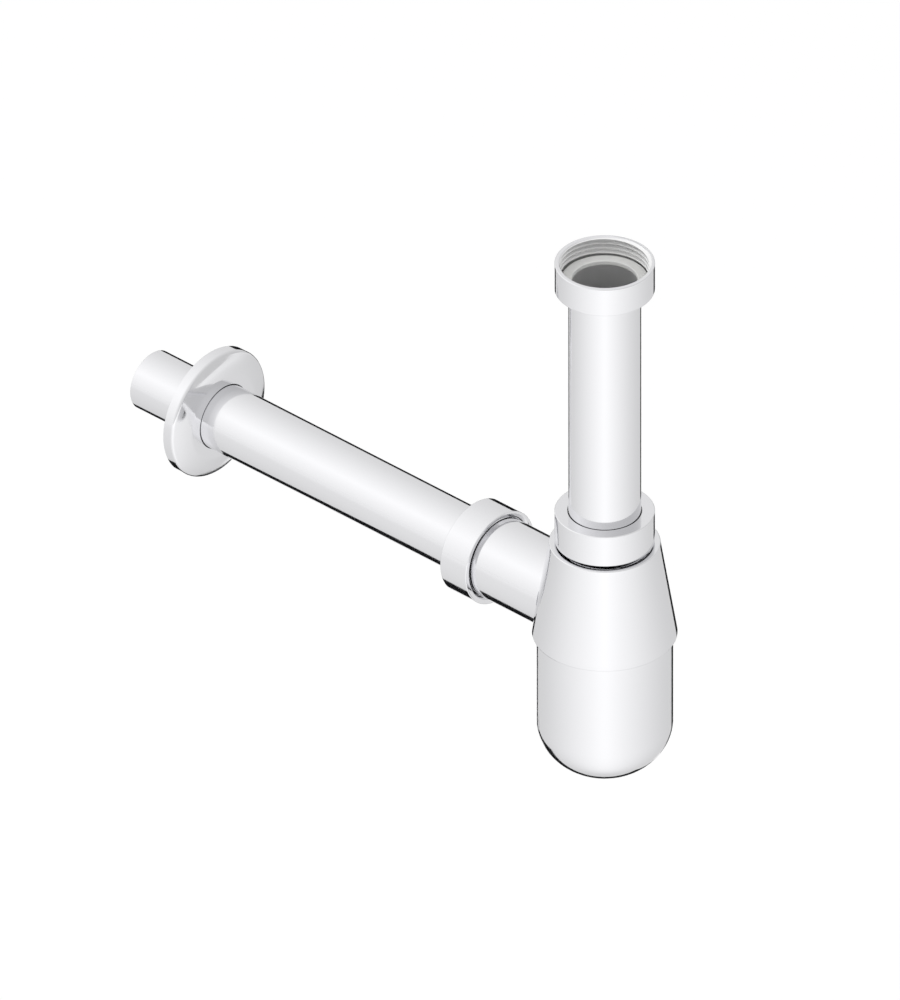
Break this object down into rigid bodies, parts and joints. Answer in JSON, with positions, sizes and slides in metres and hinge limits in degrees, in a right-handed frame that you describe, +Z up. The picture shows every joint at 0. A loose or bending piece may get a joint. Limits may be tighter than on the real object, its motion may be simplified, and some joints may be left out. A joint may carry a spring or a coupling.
{
  "type": "bottle trap",
  "caption": "Bottle trap for a wash basin: inlet tube with union nut, tapered body with side outlet, screwed domed cup, wall tube and round wall flange.",
  "frame": {"origin": "the face of the inlet gasket that the basin waste seals on, on the inlet's axis", "axes": "+Z up along the inlet towards the basin, -X along the wall tube towards the wall"},
  "size_m": [0.3021, 0.0638, 0.2638],
  "materials": {
    "chrome_plate": "polished",
    "pale_gasket": "matte",
    "black_seal": "matte",
    "slip_ring_plastic": "matte",
    "bare_brass": "satin"
  },
  "bodies": {
    "trap_body": {"trap_body": "chrome_plate", "dip_tube": "bare_brass", "dip_tube_washer": "black_seal", "outlet_cone_seal": "black_seal"},
    "body_seal": {"body_cone_seal": "black_seal"},
    "inlet_tube": {"inlet_tube": "chrome_plate", "inlet_gasket": "pale_gasket"},
    "inlet_ring": {"inlet_slip_ring": "slip_ring_plastic"},
    "inlet_nut": {"inlet_nut": "chrome_plate"},
    "body_ring": {"body_slip_ring": "slip_ring_plastic"},
    "body_nut": {"body_nut": "chrome_plate"},
    "outlet_ring": {"outlet_slip_ring": "slip_ring_plastic"},
    "outlet_nut": {"outlet_nut": "chrome_plate"},
    "wall_tube": {"wall_tube": "chrome_plate"},
    "wall_flange": {"wall_flange": "chrome_plate", "flange_grip_ring": "black_seal"},
    "cup_seal": {"cup_gasket": "black_seal"},
    "cup": {"cup": "chrome_plate"}
  },
  "joints": [
    {"name": "inlet_swivel", "type": "hinge", "parent": "trap_body", "child": "body_seal", "pos_m": [0, 0, -0.127], "axis": [0, 0, 1], "continuous": true},
    {"name": "inlet_height", "type": "slide", "parent": "body_seal", "child": "inlet_tube", "axis": [0, 0, 1], "range_m": [-0.04, 0.04]},
    {"name": "inlet_nut_drop", "type": "slide", "parent": "inlet_tube", "child": "inlet_ring", "axis": [0, 0, -1], "range_m": [0, 0.066]},
    {"name": "inlet_nut_turn", "type": "hinge", "parent": "inlet_ring", "child": "inlet_nut", "pos_m": [0, 0, -0.0032], "axis": [0, 0, 1], "continuous": true},
    {"name": "body_nut_lift", "type": "slide", "parent": "trap_body", "child": "body_ring", "axis": [0, 0, 1], "range_m": [0, 0.00924]},
    {"name": "body_nut_turn", "type": "hinge", "parent": "body_ring", "child": "body_nut", "pos_m": [0, 0, -0.123], "axis": [0, 0, 1], "range_deg": [0, 1440]},
    {"name": "outlet_nut_back", "type": "slide", "parent": "trap_body", "child": "outlet_ring", "axis": [-1, 0, 0], "range_m": [0, 0.00924]},
    {"name": "outlet_nut_turn", "type": "hinge", "parent": "outlet_ring", "child": "outlet_nut", "pos_m": [-0.074, 0, -0.1743], "axis": [-1, 0, 0], "range_deg": [0, 1440]},
    {"name": "wall_tube_reach", "type": "slide", "parent": "trap_body", "child": "wall_tube", "axis": [-1, 0, 0], "range_m": [-0.01, 0.02]},
    {"name": "wall_flange_slide", "type": "slide", "parent": "wall_tube", "child": "wall_flange", "axis": [1, 0, 0], "range_m": [-0.004, 0.128]},
    {"name": "cup_drop", "type": "slide", "parent": "trap_body", "child": "cup_seal", "axis": [0, 0, -1], "range_m": [0, 0.00693]},
    {"name": "cup_turn", "type": "hinge", "parent": "cup_seal", "child": "cup", "pos_m": [0, 0, -0.181], "axis": [0, 0, -1], "range_deg": [0, 1080]}
  ],
  "couplings": [
    {"joint": "body_nut_lift", "follows": "body_nut_turn", "m_per_rad": 0.00036749},
    {"joint": "outlet_nut_back", "follows": "outlet_nut_turn", "m_per_rad": 0.00036749},
    {"joint": "cup_drop", "follows": "cup_turn", "m_per_rad": 0.00036749}
  ]
}
